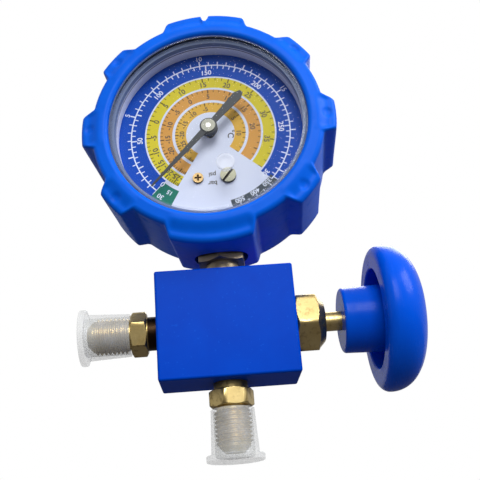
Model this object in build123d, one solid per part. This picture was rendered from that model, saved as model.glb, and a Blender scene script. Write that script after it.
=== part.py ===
from build123d import *
import os
from math import atan2, cos, degrees, hypot, pi, radians, sin, sqrt, tan

# Single valve refrigerant manifold with a booted pressure gauge.
# Row frame: origin at the centre of the block's back face, +X along the valve stem to the handwheel,
# +Z up through the gauge, and the dial faces -Y. Every length is in millimetres.

# Manifold block
BLOCK_W = 42.0
BLOCK_D = 20.0
BLOCK_H = 33.5
BLOCK_EDGE = 0.7
PASSAGE_R = 2.4

# Taper pipe plugs, 1/8 inch, shared by the gauge socket and both ports
NPT_R = 5.15
NPT_DEPTH = 8.0
NPT_TAPER = 1 / 32
TAP_DRILL_R = 4.3
TAP_RUNOUT = 1.0

# Quarter inch male flare ports
PORT_BORE_R = 2.4
PORT_FLATS = 12.0
PORT_HEX_L = 5.0
LEFT_STANDOFF = 3.0
BOTTOM_STANDOFF = 2.5
LEFT_HEX_TURN = 30.0
BOTTOM_HEX_TURN = 17.0
UNDERCUT_R = 4.6
UNDERCUT_L = 1.5
FLARE_R = 5.5
FLARE_THREAD_L = 9.7
NOSE_R = 4.6
NOSE_LAND = 0.4
NOSE_TIP_R = 2.9

# Thread caps
CAP_GAP = 0.35
CAP_MOUTH_R = 6.5
CAP_END_R = 7.1
CAP_L = 15.2
CAP_END_T = 1.2
CAP_FLANGE_R = 8.6
CAP_FLANGE_T = 2.0
CAP_SEAT_GAP = 0.3

# Valve seat, stem and packing
PITCH = 1.25
CLOSE_TURNS = 2.25
SEAT_X = -3.0
SEAT_LIP_T = 1.0
SEAT_LIP_H = 0.9
CHAMBER_R = 4.6
CHAMBER_END_X = 4.5
STEM_THREAD_R = 3.95
STEM_THREAD_L = 6.2
STEM_R = 3.0
STEM_NECK_R = 2.2
STEM_NECK_L = 1.5
NOSE_PIN_R = 1.4
NOSE_PIN_L = 1.8
DISC_R = 4.0
DISC_T = 2.6
PACKING_FLOOR_X = 11.8
PACKING_BORE_R = 6.0
WASHER_T = 1.0
PACKING_T = 3.8
FOLLOWER_T = 1.0
NUT_FLATS = 17.0
NUT_HEX_L = 9.0
SLIDE_FIT = 0.05

# Handwheel
HUB_X = 35.3
HUB_R = 10.0
RIM_BACK_X = 45.6
RIM_INNER_R = 15.5
RIM_R = 23.0
WHEEL_FRONT_X = 59.0
DOME_L = 5.5
DOME_DROP = 8.2
FLAT_R = 10.2
RECESS_DEPTH = 8.8
RECESS_DRAFT = 0.6
WHEEL_DISH = 1.4
SCREW_POCKET_R = 5.2
SCREW_POCKET_DEPTH = 2.6
STEM_SQUARE = 4.2
WHEEL_SCREW_R = 1.5
WHEEL_SCREW_L = 8.0
WHEEL_SCREW_HEAD_R = 2.9
WHEEL_SCREW_HEAD_T = 1.8
WHEEL_WASHER_R = 4.4
WHEEL_WASHER_T = 0.6

# Gauge position: height of the dial centre over the block centre, and the few degrees by which
# the taper thread pulls up short of square
GAUGE_Z = 62.4
GAUGE_TURN = -5.4

# Gauge case, lens and dial, as depths along the dial axis from the socket axis
CASE_R = 34.0
CASE_WALL = 1.2
CASE_RIM_Y = -16.0
CASE_BACK_Y = 12.3
CASE_EDGE = 2.0
RELIEF_R = 5.0
GASKET_T = 1.0
GASKET_W = 2.0
LENS_FLANGE_T = 1.4
LENS_RISE = 1.4
LENS_T = 2.0
LENS_EYE_R = CASE_R - 2.8
LENS_POCKET_R = LENS_EYE_R - 0.4
DIAL_Y = -10.2
DIAL_T = 0.6
DIAL_R = CASE_R - CASE_WALL - 0.4
DIAL_BORE_R = 1.6
DIAL_RING_R = CASE_R - GASKET_W - 0.4
DIAL_VIEW_R = DIAL_RING_R - 1.7
DIAL_SCREW_X = 4.8
DIAL_SCREW_Z = -15.6
DIAL_SCREW_R = 0.8
DIAL_POST_R = 1.9
DIAL_SCREW_HEAD_R = 1.7
DIAL_SCREW_HEAD_T = 0.9
DIAL_CROSS_W = 0.6
DIAL_CROSS_MARGIN = 0.6
DIAL_CROSS_DEPTH = 0.45
ADJUSTER_R = 1.2
ADJUSTER_HEAD_R = 2.5
ADJUSTER_HEAD_T = 1.1
ADJUSTER_SLOT_TURN = 50.0
PLUG_R = 2.4
PLUG_HEAD_R = 2.9
PLUG_HEAD_T = 0.9
PLUG_GAP = 0.08

# Boot
BOOT_WALL = 2.8
BOOT_R = CASE_R + BOOT_WALL
BOOT_LIP_T = 1.8
BOOT_LIP_R = LENS_EYE_R + 0.3
BOOT_BACK_T = 2.2
BOOT_BACK_LAP = 5.0
BOOT_BACK_R = CASE_R - BOOT_BACK_LAP
BOOT_TURN = -2.0
BOOT_EDGE = 1.4
LUG_R = BOOT_R + 3.7
LUG_BACK_R = LUG_R - 0.5
LUG_BACK_Y = 10.5
LUG_RUNOUT = 3.0
LUG_ROOT = 2.0
LUG_HALF_W = 5.4
LUG_FLANK = 1.6
WIDE_LUG_HALF_W = 12.3
LUG_ANGLES = (40, 0, -40, -140, 180, 140)
LUG_NOTCH_W = 2.0
LUG_NOTCH_DEPTH = 2.6
DIMPLE_R = 1.25
DIMPLE_DEPTH = 0.8
BOOT_NECK_R = 8.5

# Gauge socket
SOCKET_FLATS = 14.0
SOCKET_STANDOFF = 3.8
SOCKET_HEX_TOP_Z = -CASE_R - 2.4
SOCKET_SHANK_R = 6.0
SOCKET_BORE_R = 1.5
TUBE_PORT_R = 0.8
FOOT_W = 14.0
FOOT_FRONT_Y = -3.5
FOOT_GAP = 0.7
FOOT_BOTTOM_Z = -CASE_R + 2.8
TONGUE_W = 11.0
TONGUE_BACK_Y = 7.4
TONGUE_TOP_Z = -11.0
CASE_SCREW_X = 4.0
CASE_SCREW_RISE = 1.6
CASE_SCREW_R = 1.3
CASE_SCREW_HEAD_R = 2.5
CASE_SCREW_HEAD_T = 1.4
CASE_SCREW_L = 5.0

# Pressure tube, a flat oval C of brass
TUBE_R = 23.0
TUBE_MID_Y = 4.6
TUBE_OVAL_Y = 5.2
TUBE_OVAL_R = 2.6
TUBE_WALL = 0.35
TUBE_START = 257.0
TUBE_END = -8.0

# Movement: plates, arbors, gears and link
MOVEMENT_BACK_Y = 1.6
PLATE_T = 1.0
PLATE_GAP = 6.2
PLATE_MARGIN = 2.3
MOVEMENT_SCREWS = ((-3.2, -13.2), (3.2, -13.2))
MOVEMENT_SCREW_R = 0.8
MOVEMENT_SCREW_L = 3.4
MOVEMENT_SCREW_HEAD_R = 1.4
MOVEMENT_SCREW_HEAD_T = 0.9
PILLAR_R = 1.2
PILLARS = ((-5.6, 4.6), (10.4, -17.0), (-7.0, -15.4))
ARBOR_R = 0.8
MODULE = 0.25
PINION_TEETH = 12
SECTOR_TEETH = 120
TOOTH_W = 0.30
SECTOR_DIRECTION = -45.0
SECTOR_FIRST = -12
SECTOR_LAST = 3
SECTOR_T = 0.8
SECTOR_FRONT_Y = -3.0
PINION_L = 2.4
PINION_FRONT_Y = -3.8
TAIL_L = 6.0
TAIL_ANGLE = -14.4
TAIL_PIN_R = 0.5
LINK_T = 0.7
LINK_FRONT_Y = -1.9
LINK_END_R = 1.4
LINK_W = 1.6
LINK_SLOT_R = 0.8
LINK_RISE = (2.0, 7.3)
TIP_BLOCK_L = 5.0
TIP_ARM_T = 1.6
TIP_PIN_OVER = 0.4
SECTOR_RIM = 1.6
SECTOR_ARM_W = 2.4
SECTOR_BOSS_R = 2.2
HAIRSPRING_Y = -5.1
HAIRSPRING_W = 0.8
HAIRSPRING_T = 0.12
HAIRSPRING_IN_R = 1.45
HAIRSPRING_OUT_R = 4.4
HAIRSPRING_TURNS = 4
COLLET_R = 1.4

# Pointer
POINTER_REST = -135.0
POINTER_Y = -15.6
POINTER_T = 0.4
POINTER_TIP_L = 26.8
POINTER_TAIL_L = 16.0
POINTER_W = 2.2
POINTER_TIP_W = 0.5
TAIL_HUB_W = 2.0
TAIL_HEAD_W = 3.2
TAIL_HEAD_L = 2.0
TAIL_POINT_W = 1.2
BOSS_R = 2.8
BOSS_L = 2.2
HUB_CAP_R = 2.25
HUB_CAP_T = 0.5

# Places worked out from the sizes above
BLOCK_RIGHT = BLOCK_W / 2
DISC_X = SEAT_X + CLOSE_TURNS * PITCH + SLIDE_FIT
DISC_END_X = DISC_X + DISC_T
THREAD_X = DISC_END_X + 2 * SLIDE_FIT + STEM_NECK_L
THREAD_END_X = THREAD_X + STEM_THREAD_L
FOLLOWER_X = PACKING_FLOOR_X + WASHER_T + PACKING_T
SPIGOT_X = FOLLOWER_X + FOLLOWER_T
NUT_END_X = BLOCK_RIGHT + NUT_HEX_L
POCKET_X = WHEEL_FRONT_X - WHEEL_DISH - SCREW_POCKET_DEPTH
STEM_END_X = POCKET_X - 2.0
LENS_BACK_Y = CASE_RIM_Y - GASKET_T
LENS_FLANGE_Y = LENS_BACK_Y - LENS_FLANGE_T
LENS_FRONT_Y = LENS_FLANGE_Y - LENS_RISE
BOOT_FRONT_Y = LENS_FLANGE_Y - BOOT_LIP_T
BOOT_BACK_Y = CASE_BACK_Y + BOOT_BACK_T
SOCKET_BOTTOM_Z = BLOCK_H / 2 - GAUGE_Z
SOCKET_HEX_Z = SOCKET_BOTTOM_Z + SOCKET_STANDOFF
MOVEMENT_FRONT_Y = MOVEMENT_BACK_Y - 2 * PLATE_T - PLATE_GAP
PINION_R = MODULE * PINION_TEETH / 2
SECTOR_R = MODULE * SECTOR_TEETH / 2
GEAR_CENTRES = PINION_R + SECTOR_R
SECTOR_X = GEAR_CENTRES * cos(radians(SECTOR_DIRECTION))
SECTOR_Z = GEAR_CENTRES * sin(radians(SECTOR_DIRECTION))
TAIL_X = SECTOR_X + TAIL_L * cos(radians(TAIL_ANGLE))
TAIL_Z = SECTOR_Z + TAIL_L * sin(radians(TAIL_ANGLE))
TIP_X = TAIL_X + LINK_RISE[0]
TIP_Z = TAIL_Z + LINK_RISE[1]
ADJUSTER_END_Y = MOVEMENT_FRONT_Y + PLATE_T
FOOT_TOP_Z = PILLARS[1][1] - PLATE_MARGIN - FOOT_GAP
CASE_SCREW_Z = (FOOT_BOTTOM_Z + FOOT_TOP_Z) / 2 + CASE_SCREW_RISE


def outline(*corners):
    """Closed face in the XY plane from (a, b) or (a, b, radius) corners, rounded where a radius is given."""
    places = [Vector(c[0], c[1]) for c in corners]
    enters = []
    mids = []
    leaves = []
    for i, corner in enumerate(corners):
        here = places[i]
        radius = corner[2] if len(corner) == 3 else 0
        back = (places[i - 1] - here).normalized()
        ahead = (places[(i + 1) % len(places)] - here).normalized()
        half = radians(back.get_angle(ahead)) / 2
        reach = radius / tan(half)
        enters.append(here + back * reach)
        leaves.append(here + ahead * reach)
        mids.append(here + (back + ahead).normalized() * (radius / sin(half) - radius))
    edges = []
    for i, corner in enumerate(corners):
        if (enters[i] - leaves[i - 1]).length > 1e-6:
            edges.append(Line(leaves[i - 1], enters[i]))
        if len(corner) == 3:
            edges.append(ThreePointArc(enters[i], mids[i], leaves[i]))
    return make_face(Curve() + edges)


def turned(axis, *corners):
    """Solid of revolution about a row axis, from its outline."""
    return revolve(outline(*corners), axis=axis)


def rod_x(radius, start, end):
    """Round bar along X."""
    return extrude(Plane.YZ.offset(start) * Circle(radius), end - start)


def rod_y(radius, start, end, x=0, z=0):
    """Round bar along Y, from its front end to its back end."""
    return Pos(x, (start + end) / 2, z) * Rot(90, 0, 0) * Cylinder(radius, end - start)


def tube_y(outer, inner, start, end):
    """Plain ring about Y."""
    return turned(Axis.Y, (inner, start), (outer, start), (outer, end), (inner, end))


def ring_x(outer, inner, start, end):
    """Plain ring about X."""
    return turned(Axis.X, (start, inner), (end, inner), (end, outer), (start, outer))


def box_between(low, high):
    """Box from its lowest corner to its highest corner."""
    size = [b - a for a, b in zip(low, high)]
    middle = [(a + b) / 2 for a, b in zip(low, high)]
    return Pos(*middle) * Box(*size)


def hex_bar(flats, start, length, turn=0):
    """Hexagon bar along X with both ends chamfered; turn 0 points corners along Y."""
    apothem = flats / 2
    corner = flats / sqrt(3)
    slope = (corner - apothem) * tan(radians(30))
    end = start + length
    bar = extrude(Plane.YZ.offset(start) * RegularPolygon(apothem, 6, major_radius=False, rotation=turn), length)
    cone = turned(
        Axis.X,
        (start, 0),
        (start, apothem),
        (start + slope, corner),
        (end - slope, corner),
        (end, apothem),
        (end, 0),
    )
    return bar & cone


def pipe_plug(standoff=0.0):
    """Taper thread core along X: it ends NPT_DEPTH inside the face at X = 0 and runs on to the standoff."""
    small = NPT_R - NPT_DEPTH * NPT_TAPER
    corners = [(-NPT_DEPTH, 0), (-NPT_DEPTH, small), (0, NPT_R)]
    if standoff:
        corners.append((standoff, NPT_R))
    corners.append((standoff, 0))
    return turned(Axis.X, *corners)


# Where the pieces made along local X are screwed in
LEFT_PORT = Pos(-BLOCK_RIGHT, 0, 0) * Rot(0, 0, 180)
BOTTOM_PORT = Pos(0, 0, -BLOCK_H / 2) * Rot(0, 90, 0)
TOP_PORT = Pos(0, 0, BLOCK_H / 2) * Rot(0, -90, 0)
GAUGE = Pos(0, 0, GAUGE_Z) * Rot(0, 0, GAUGE_TURN)


def manifold_block():
    block = Box(BLOCK_W, BLOCK_D, BLOCK_H)
    block = fillet(block.edges(), BLOCK_EDGE)
    chamber_x = SEAT_X - SEAT_LIP_H
    for port in (LEFT_PORT, BOTTOM_PORT, TOP_PORT):
        block -= port * (pipe_plug() + rod_x(TAP_DRILL_R, -NPT_DEPTH - TAP_RUNOUT, 0))
    block -= rod_x(PASSAGE_R, -BLOCK_RIGHT, chamber_x)
    block -= Cylinder(PASSAGE_R, BLOCK_H)
    block -= rod_x(CHAMBER_R, chamber_x, CHAMBER_END_X) - ring_x(
        PASSAGE_R + SEAT_LIP_T, PASSAGE_R, chamber_x, SEAT_X
    )
    block -= rod_x(STEM_THREAD_R + SLIDE_FIT, CHAMBER_END_X, PACKING_FLOOR_X)
    block -= rod_x(PACKING_BORE_R, PACKING_FLOOR_X, BLOCK_RIGHT)
    return block


def port_fitting(standoff, turn):
    """Half union: taper plug, hexagon, undercut, thread core and 45 degree flare nose."""
    hex_end = standoff + PORT_HEX_L
    thread_start = hex_end + UNDERCUT_L
    thread_end = thread_start + FLARE_THREAD_L
    nose_start = thread_end + NOSE_LAND
    nose_end = nose_start + NOSE_R - NOSE_TIP_R
    chamfer_r = FLARE_R - UNDERCUT_R
    barrel = turned(
        Axis.X,
        (hex_end, 0),
        (hex_end, UNDERCUT_R),
        (thread_start - chamfer_r, UNDERCUT_R),
        (thread_start, FLARE_R),
        (thread_end - chamfer_r, FLARE_R),
        (thread_end, NOSE_R),
        (nose_start, NOSE_R),
        (nose_end, NOSE_TIP_R),
        (nose_end, 0),
    )
    body = pipe_plug(standoff) + hex_bar(PORT_FLATS, standoff, PORT_HEX_L, turn) + barrel
    return body - rod_x(PORT_BORE_R, -NPT_DEPTH, nose_end)


def thread_cap(standoff):
    """Thin push-on cap with a flange at its closed end."""
    mouth = standoff + PORT_HEX_L + CAP_SEAT_GAP
    end = mouth + CAP_L
    inner = FLARE_R + CAP_GAP
    return turned(
        Axis.X,
        (mouth, inner),
        (mouth, CAP_MOUTH_R, 0.25),
        (end - CAP_FLANGE_T, CAP_END_R, 0.3),
        (end - CAP_FLANGE_T, CAP_FLANGE_R, 0.4),
        (end, CAP_FLANGE_R, 0.5),
        (end, 0),
        (end - CAP_END_T, 0),
        (end - CAP_END_T, inner, 0.6),
    )


def seat_disc():
    disc = turned(
        Axis.X,
        (DISC_X, 0),
        (DISC_X, DISC_R, 0.3),
        (DISC_END_X, DISC_R, 0.3),
        (DISC_END_X, 0),
    )
    return disc - rod_x(NOSE_PIN_R + SLIDE_FIT, DISC_END_X - NOSE_PIN_L - SLIDE_FIT, DISC_END_X)


def valve_stem():
    stem = turned(
        Axis.X,
        (DISC_END_X - NOSE_PIN_L, 0),
        (DISC_END_X - NOSE_PIN_L, NOSE_PIN_R),
        (THREAD_X - STEM_NECK_L, NOSE_PIN_R),
        (THREAD_X - STEM_NECK_L, STEM_NECK_R),
        (THREAD_X, STEM_NECK_R),
        (THREAD_X + 0.6, STEM_THREAD_R),
        (THREAD_END_X - 0.6, STEM_THREAD_R),
        (THREAD_END_X, STEM_R),
        (HUB_X, STEM_R),
        (HUB_X, 0),
    )
    square = Plane.YZ.offset(HUB_X) * Rectangle(STEM_SQUARE, STEM_SQUARE)
    stem += extrude(square, STEM_END_X - HUB_X)
    return stem - rod_x(WHEEL_SCREW_R, POCKET_X - WHEEL_SCREW_L, STEM_END_X)


def packing_washer():
    return ring_x(PACKING_BORE_R, STEM_R + 0.2, PACKING_FLOOR_X, PACKING_FLOOR_X + WASHER_T)


def stem_packing():
    return ring_x(PACKING_BORE_R, STEM_R + SLIDE_FIT, PACKING_FLOOR_X + WASHER_T, FOLLOWER_X)


def gland_follower():
    return ring_x(PACKING_BORE_R, STEM_R + 0.1, FOLLOWER_X, SPIGOT_X)


def packing_nut():
    nut = hex_bar(NUT_FLATS, BLOCK_RIGHT, NUT_HEX_L)
    nut += rod_x(PACKING_BORE_R, SPIGOT_X, BLOCK_RIGHT)
    nut -= rod_x(STEM_R + SLIDE_FIT, SPIGOT_X, NUT_END_X)
    mouth = turned(
        Axis.X,
        (NUT_END_X - 0.8, 0),
        (NUT_END_X - 0.8, STEM_R),
        (NUT_END_X, STEM_R + 0.8),
        (NUT_END_X, 0),
    )
    return nut - mouth


def handwheel():
    """Mushroom handwheel: long hub, deep ring recess behind a domed rim, and a dished front."""
    recess_x = RIM_BACK_X + RECESS_DEPTH
    front_x = WHEEL_FRONT_X - WHEEL_DISH
    wheel = turned(
        Axis.X,
        (HUB_X, 0),
        (HUB_X, HUB_R, 1.0),
        (recess_x, HUB_R + RECESS_DRAFT, 1.5),
        (recess_x, RIM_INNER_R - RECESS_DRAFT, 1.5),
        (RIM_BACK_X, RIM_INNER_R, 0.6),
        (RIM_BACK_X, RIM_R - RECESS_DRAFT, 3.0),
        (WHEEL_FRONT_X - DOME_L, RIM_R, 9.0),
        (WHEEL_FRONT_X, RIM_R - DOME_DROP, 13.0),
        (WHEEL_FRONT_X, FLAT_R, 2.0),
        (front_x, SCREW_POCKET_R + WHEEL_DISH, 2.0),
        (front_x, 0),
    )
    wheel -= rod_x(SCREW_POCKET_R, POCKET_X, WHEEL_FRONT_X)
    square = Plane.YZ.offset(HUB_X) * Rectangle(STEM_SQUARE, STEM_SQUARE)
    return wheel - extrude(square, POCKET_X - HUB_X)


def handwheel_washer():
    return ring_x(WHEEL_WASHER_R, WHEEL_SCREW_R + 0.1, POCKET_X, POCKET_X + WHEEL_WASHER_T)


def handwheel_screw():
    head_x = POCKET_X + WHEEL_WASHER_T
    head = turned(
        Axis.X,
        (head_x, 0),
        (head_x, WHEEL_SCREW_HEAD_R),
        (head_x + WHEEL_SCREW_HEAD_T, WHEEL_SCREW_HEAD_R, 0.9),
        (head_x + WHEEL_SCREW_HEAD_T, 0),
    )
    slot_x = head_x + WHEEL_SCREW_HEAD_T
    for turn in (0, 90):
        head -= Rot(turn, 0, 0) * box_between((slot_x - 1.0, -1.7, -0.4), (slot_x, 1.7, 0.4))
    return head + rod_x(WHEEL_SCREW_R, POCKET_X - WHEEL_SCREW_L, head_x)


def gauge_socket():
    """Brass socket: taper thread, wrench hexagon, shank through the case, and the foot that carries the works."""
    plug = Pos(0, 0, SOCKET_BOTTOM_Z) * Rot(0, -90, 0) * pipe_plug(SOCKET_STANDOFF)
    hexagon = Pos(0, 0, SOCKET_HEX_Z) * Rot(0, -90, 0) * hex_bar(SOCKET_FLATS, 0, SOCKET_HEX_TOP_Z - SOCKET_HEX_Z)
    shank_l = FOOT_BOTTOM_Z - SOCKET_HEX_TOP_Z
    shank = Pos(0, 0, (FOOT_BOTTOM_Z + SOCKET_HEX_TOP_Z) / 2) * Cylinder(SOCKET_SHANK_R, shank_l)
    foot = box_between(
        (-FOOT_W / 2, FOOT_FRONT_Y, FOOT_BOTTOM_Z),
        (FOOT_W / 2, CASE_BACK_Y - CASE_WALL, FOOT_TOP_Z),
    )
    tongue = box_between(
        (-TONGUE_W / 2, MOVEMENT_BACK_Y, FOOT_TOP_Z),
        (TONGUE_W / 2, TONGUE_BACK_Y, TONGUE_TOP_Z),
    )
    root_x = TUBE_R * cos(radians(TUBE_START))
    root_z = TUBE_R * sin(radians(TUBE_START))
    bore_l = root_z - SOCKET_BOTTOM_Z + NPT_DEPTH
    socket = plug + hexagon + shank + foot + tongue
    socket -= Pos(0, 0, root_z - bore_l / 2) * Cylinder(SOCKET_BORE_R, bore_l)
    socket -= rod_y(TUBE_PORT_R, 0, TUBE_MID_Y + TUBE_PORT_R, 0, root_z)
    socket -= Pos(0, TUBE_MID_Y, root_z) * rod_x(TUBE_PORT_R, root_x, 0)
    for x in (-CASE_SCREW_X, CASE_SCREW_X):
        back = CASE_BACK_Y - CASE_WALL
        socket -= rod_y(CASE_SCREW_R, back - CASE_SCREW_L, back, x, CASE_SCREW_Z)
    for x, z in MOVEMENT_SCREWS:
        socket -= rod_y(MOVEMENT_SCREW_R, MOVEMENT_BACK_Y, MOVEMENT_BACK_Y + MOVEMENT_SCREW_L, x, z)
    return socket - tube_outer()


def oval_arc(width, thickness, start, end):
    """Flat oval section swept about the dial axis between two dial angles."""
    section = Pos(TUBE_R, TUBE_MID_Y) * SlotOverall(width, thickness, rotation=90)
    sweep_solid = revolve(section, axis=Axis.Y, revolution_arc=start - end)
    return Rot(0, -start, 0) * sweep_solid


def tube_outer():
    return oval_arc(TUBE_OVAL_Y, TUBE_OVAL_R, TUBE_START, TUBE_END)


def bourdon_tube():
    hollow = oval_arc(TUBE_OVAL_Y - 2 * TUBE_WALL, TUBE_OVAL_R - 2 * TUBE_WALL, TUBE_START, TUBE_END)
    return tube_outer() - hollow


def tube_tip():
    """Tip block soldered to the free end of the tube, with an arm forward to the link pin."""
    end_x = TUBE_R * cos(radians(TUBE_END))
    end_z = TUBE_R * sin(radians(TUBE_END))
    block = Rot(0, -TUBE_END, 0) * Pos(TUBE_R, TUBE_MID_Y, -TIP_BLOCK_L / 2) * Box(
        TUBE_OVAL_R, TUBE_OVAL_Y, TIP_BLOCK_L
    )
    arm_angle = degrees(atan2(end_z - TIP_BLOCK_L / 2 - TIP_Z, end_x - TIP_X))
    arm_l = hypot(end_z - TIP_BLOCK_L / 2 - TIP_Z, end_x - TIP_X)
    arm = extrude(Plane.XZ * Pos(arm_l / 2, 0) * SlotOverall(arm_l + 2 * LINK_END_R, 2 * LINK_END_R), TIP_ARM_T)
    arm_front = TUBE_MID_Y - TUBE_OVAL_Y / 2
    arm = Pos(TIP_X, arm_front + TIP_ARM_T, TIP_Z) * Rot(0, -arm_angle, 0) * arm
    pin = rod_y(TAIL_PIN_R, LINK_FRONT_Y - TIP_PIN_OVER, arm_front, TIP_X, TIP_Z)
    post = rod_y(LINK_END_R, LINK_FRONT_Y + LINK_T + 0.3, arm_front, TIP_X, TIP_Z)
    return block + arm + post + pin


def link():
    """Flat link from the tube tip to the tail of the sector, with a slack hole at the tube tip."""
    length = hypot(*LINK_RISE)
    bar = Pos(length / 2, 0) * Rectangle(length, LINK_W)
    face = bar + Circle(LINK_END_R) + Pos(length, 0) * Circle(LINK_END_R)
    face -= Circle(LINK_SLOT_R)
    face -= Pos(length, 0) * Circle(TAIL_PIN_R + SLIDE_FIT)
    angle = degrees(atan2(TAIL_Z - TIP_Z, TAIL_X - TIP_X))
    return Pos(TIP_X, LINK_FRONT_Y + LINK_T, TIP_Z) * Rot(0, -angle, 0) * extrude(Plane.XZ * face, LINK_T)


def gear_teeth(pitch_r, teeth, first, last, phase):
    """Corner points of the teeth from first to last, in polar order about the gear centre."""
    tip = pitch_r + MODULE * 0.85
    root = pitch_r - MODULE * 1.2
    half_root = TOOTH_W * 0.62 / root
    half_pitch = TOOTH_W / 2 / pitch_r
    half_tip = TOOTH_W * 0.28 / tip
    points = []
    for i in range(first, last + 1):
        middle = radians(phase) + i * 2 * pi / teeth
        profile = (
            (root, -half_root),
            (pitch_r, -half_pitch),
            (tip, -half_tip),
            (tip, half_tip),
            (pitch_r, half_pitch),
            (root, half_root),
        )
        points += [(r * cos(middle + a), r * sin(middle + a)) for r, a in profile]
    return points


def pinion_arbor():
    """Arbor with its pinion, cut from one bar, that carries the pointer."""
    back = MOVEMENT_BACK_Y - SLIDE_FIT
    arbor = rod_y(ARBOR_R - SLIDE_FIT, POINTER_Y - HUB_CAP_T, back)
    points = gear_teeth(PINION_R, PINION_TEETH, 0, PINION_TEETH - 1, SECTOR_DIRECTION)
    pinion = extrude(Plane.XZ * make_face(Polyline(*points, close=True)), PINION_L)
    collet = rod_y(COLLET_R, HAIRSPRING_Y - 0.2, HAIRSPRING_Y + HAIRSPRING_W + 0.1)
    return arbor + Pos(0, PINION_FRONT_Y + PINION_L, 0) * pinion + collet


def sector_gear():
    """Toothed sector with its tail and tail pin, fixed on its own arbor."""
    toward = SECTOR_DIRECTION + 180
    phase = toward + 180 / SECTOR_TEETH
    teeth = gear_teeth(SECTOR_R, SECTOR_TEETH, SECTOR_FIRST, SECTOR_LAST, phase)
    rim_r = SECTOR_R - SECTOR_RIM
    first = radians(phase + SECTOR_FIRST * 360 / SECTOR_TEETH)
    last = radians(phase + SECTOR_LAST * 360 / SECTOR_TEETH)
    middle = (first + last) / 2
    half_arm = SECTOR_ARM_W / 2
    side = Vector(-sin(middle), cos(middle)) * half_arm
    out = Vector(cos(middle), sin(middle))
    corners = teeth + [
        (rim_r * cos(last), rim_r * sin(last)),
        out * (rim_r - SECTOR_RIM / 2) + side * 1.6,
        out * SECTOR_BOSS_R * 0.8 + side,
        out * SECTOR_BOSS_R * 0.8 - side,
        out * (rim_r - SECTOR_RIM / 2) - side * 1.6,
        (rim_r * cos(first), rim_r * sin(first)),
    ]
    face = make_face(Polyline(*corners, close=True))
    face += Circle(SECTOR_BOSS_R)
    tail = Rot(0, 0, TAIL_ANGLE) * Pos(TAIL_L / 2, 0) * Rectangle(TAIL_L, LINK_W)
    tail += Rot(0, 0, TAIL_ANGLE) * Pos(TAIL_L, 0) * Circle(LINK_END_R - 0.3)
    plate = extrude(Plane.XZ * (face + tail), SECTOR_T)
    plate = Pos(SECTOR_X, SECTOR_FRONT_Y + SECTOR_T, SECTOR_Z) * plate
    arbor = rod_y(
        ARBOR_R - SLIDE_FIT, MOVEMENT_FRONT_Y + SLIDE_FIT, MOVEMENT_BACK_Y - SLIDE_FIT, SECTOR_X, SECTOR_Z
    )
    pin = rod_y(TAIL_PIN_R, SECTOR_FRONT_Y, LINK_FRONT_Y + LINK_T + TIP_PIN_OVER / 2, TAIL_X, TAIL_Z)
    return plate + arbor + pin


def plate_face():
    """Outline that both movement plates share: round ends over every pivot, pillar and screw."""
    spots = ((0, 0), (SECTOR_X, SECTOR_Z)) + PILLARS + ((DIAL_SCREW_X, DIAL_SCREW_Z), (-DIAL_SCREW_X, DIAL_SCREW_Z))
    face = Sketch() + [Pos(x, z) * Circle(PLATE_MARGIN) for x, z in spots]
    return make_hull(face.edges())


def movement_front_plate():
    face = plate_face() - Circle(ARBOR_R) - Pos(SECTOR_X, SECTOR_Z) * Circle(ARBOR_R)
    face -= Pos(DIAL_SCREW_X, DIAL_SCREW_Z) * Circle(ADJUSTER_R + SLIDE_FIT)
    face -= Pos(-DIAL_SCREW_X, DIAL_SCREW_Z) * Circle(DIAL_SCREW_R)
    return Pos(0, MOVEMENT_FRONT_Y + PLATE_T, 0) * extrude(Plane.XZ * face, PLATE_T)


def movement_back_plate():
    face = plate_face() - Circle(ARBOR_R) - Pos(SECTOR_X, SECTOR_Z) * Circle(ARBOR_R)
    for x, z in MOVEMENT_SCREWS:
        face -= Pos(x, z) * Circle(MOVEMENT_SCREW_R)
    return Pos(0, MOVEMENT_BACK_Y, 0) * extrude(Plane.XZ * face, PLATE_T)


def movement_pillars():
    back = MOVEMENT_BACK_Y - PLATE_T
    pillars = [rod_y(PILLAR_R, MOVEMENT_FRONT_Y + PLATE_T, back, x, z) for x, z in PILLARS]
    return Compound(children=pillars)


def movement_screws():
    screws = []
    for x, z in MOVEMENT_SCREWS:
        front = MOVEMENT_BACK_Y - PLATE_T
        head = rod_y(MOVEMENT_SCREW_HEAD_R, front - MOVEMENT_SCREW_HEAD_T, front, x, z)
        shank = rod_y(MOVEMENT_SCREW_R, front, MOVEMENT_BACK_Y + MOVEMENT_SCREW_L, x, z)
        screws.append(head + shank)
    return Compound(children=screws)


def hairspring():
    """Flat spiral from the collet to the nearest pillar."""
    end_angle = atan2(PILLARS[0][1], PILLARS[0][0])
    reach = hypot(*PILLARS[0]) - PILLAR_R
    inner = []
    outer = []
    steps = HAIRSPRING_TURNS * 12
    for i in range(steps + 1):
        angle = end_angle - (1 - i / steps) * HAIRSPRING_TURNS * 2 * pi
        radius = HAIRSPRING_IN_R + (HAIRSPRING_OUT_R - HAIRSPRING_IN_R) * i / steps
        inner.append((radius * cos(angle), radius * sin(angle)))
        outer.append(((radius + HAIRSPRING_T) * cos(angle), (radius + HAIRSPRING_T) * sin(angle)))
    edges = [Spline(*inner), Line(inner[-1], outer[-1]), Spline(*reversed(outer)), Line(outer[0], inner[0])]
    strip = make_face(Curve() + edges)
    tail_l = reach - HAIRSPRING_OUT_R
    tail = Rot(0, 0, degrees(end_angle)) * Pos(HAIRSPRING_OUT_R + tail_l / 2, 0) * Rectangle(tail_l, HAIRSPRING_T)
    return Pos(0, HAIRSPRING_Y + HAIRSPRING_W, 0) * extrude(Plane.XZ * (strip + tail), HAIRSPRING_W)


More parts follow.
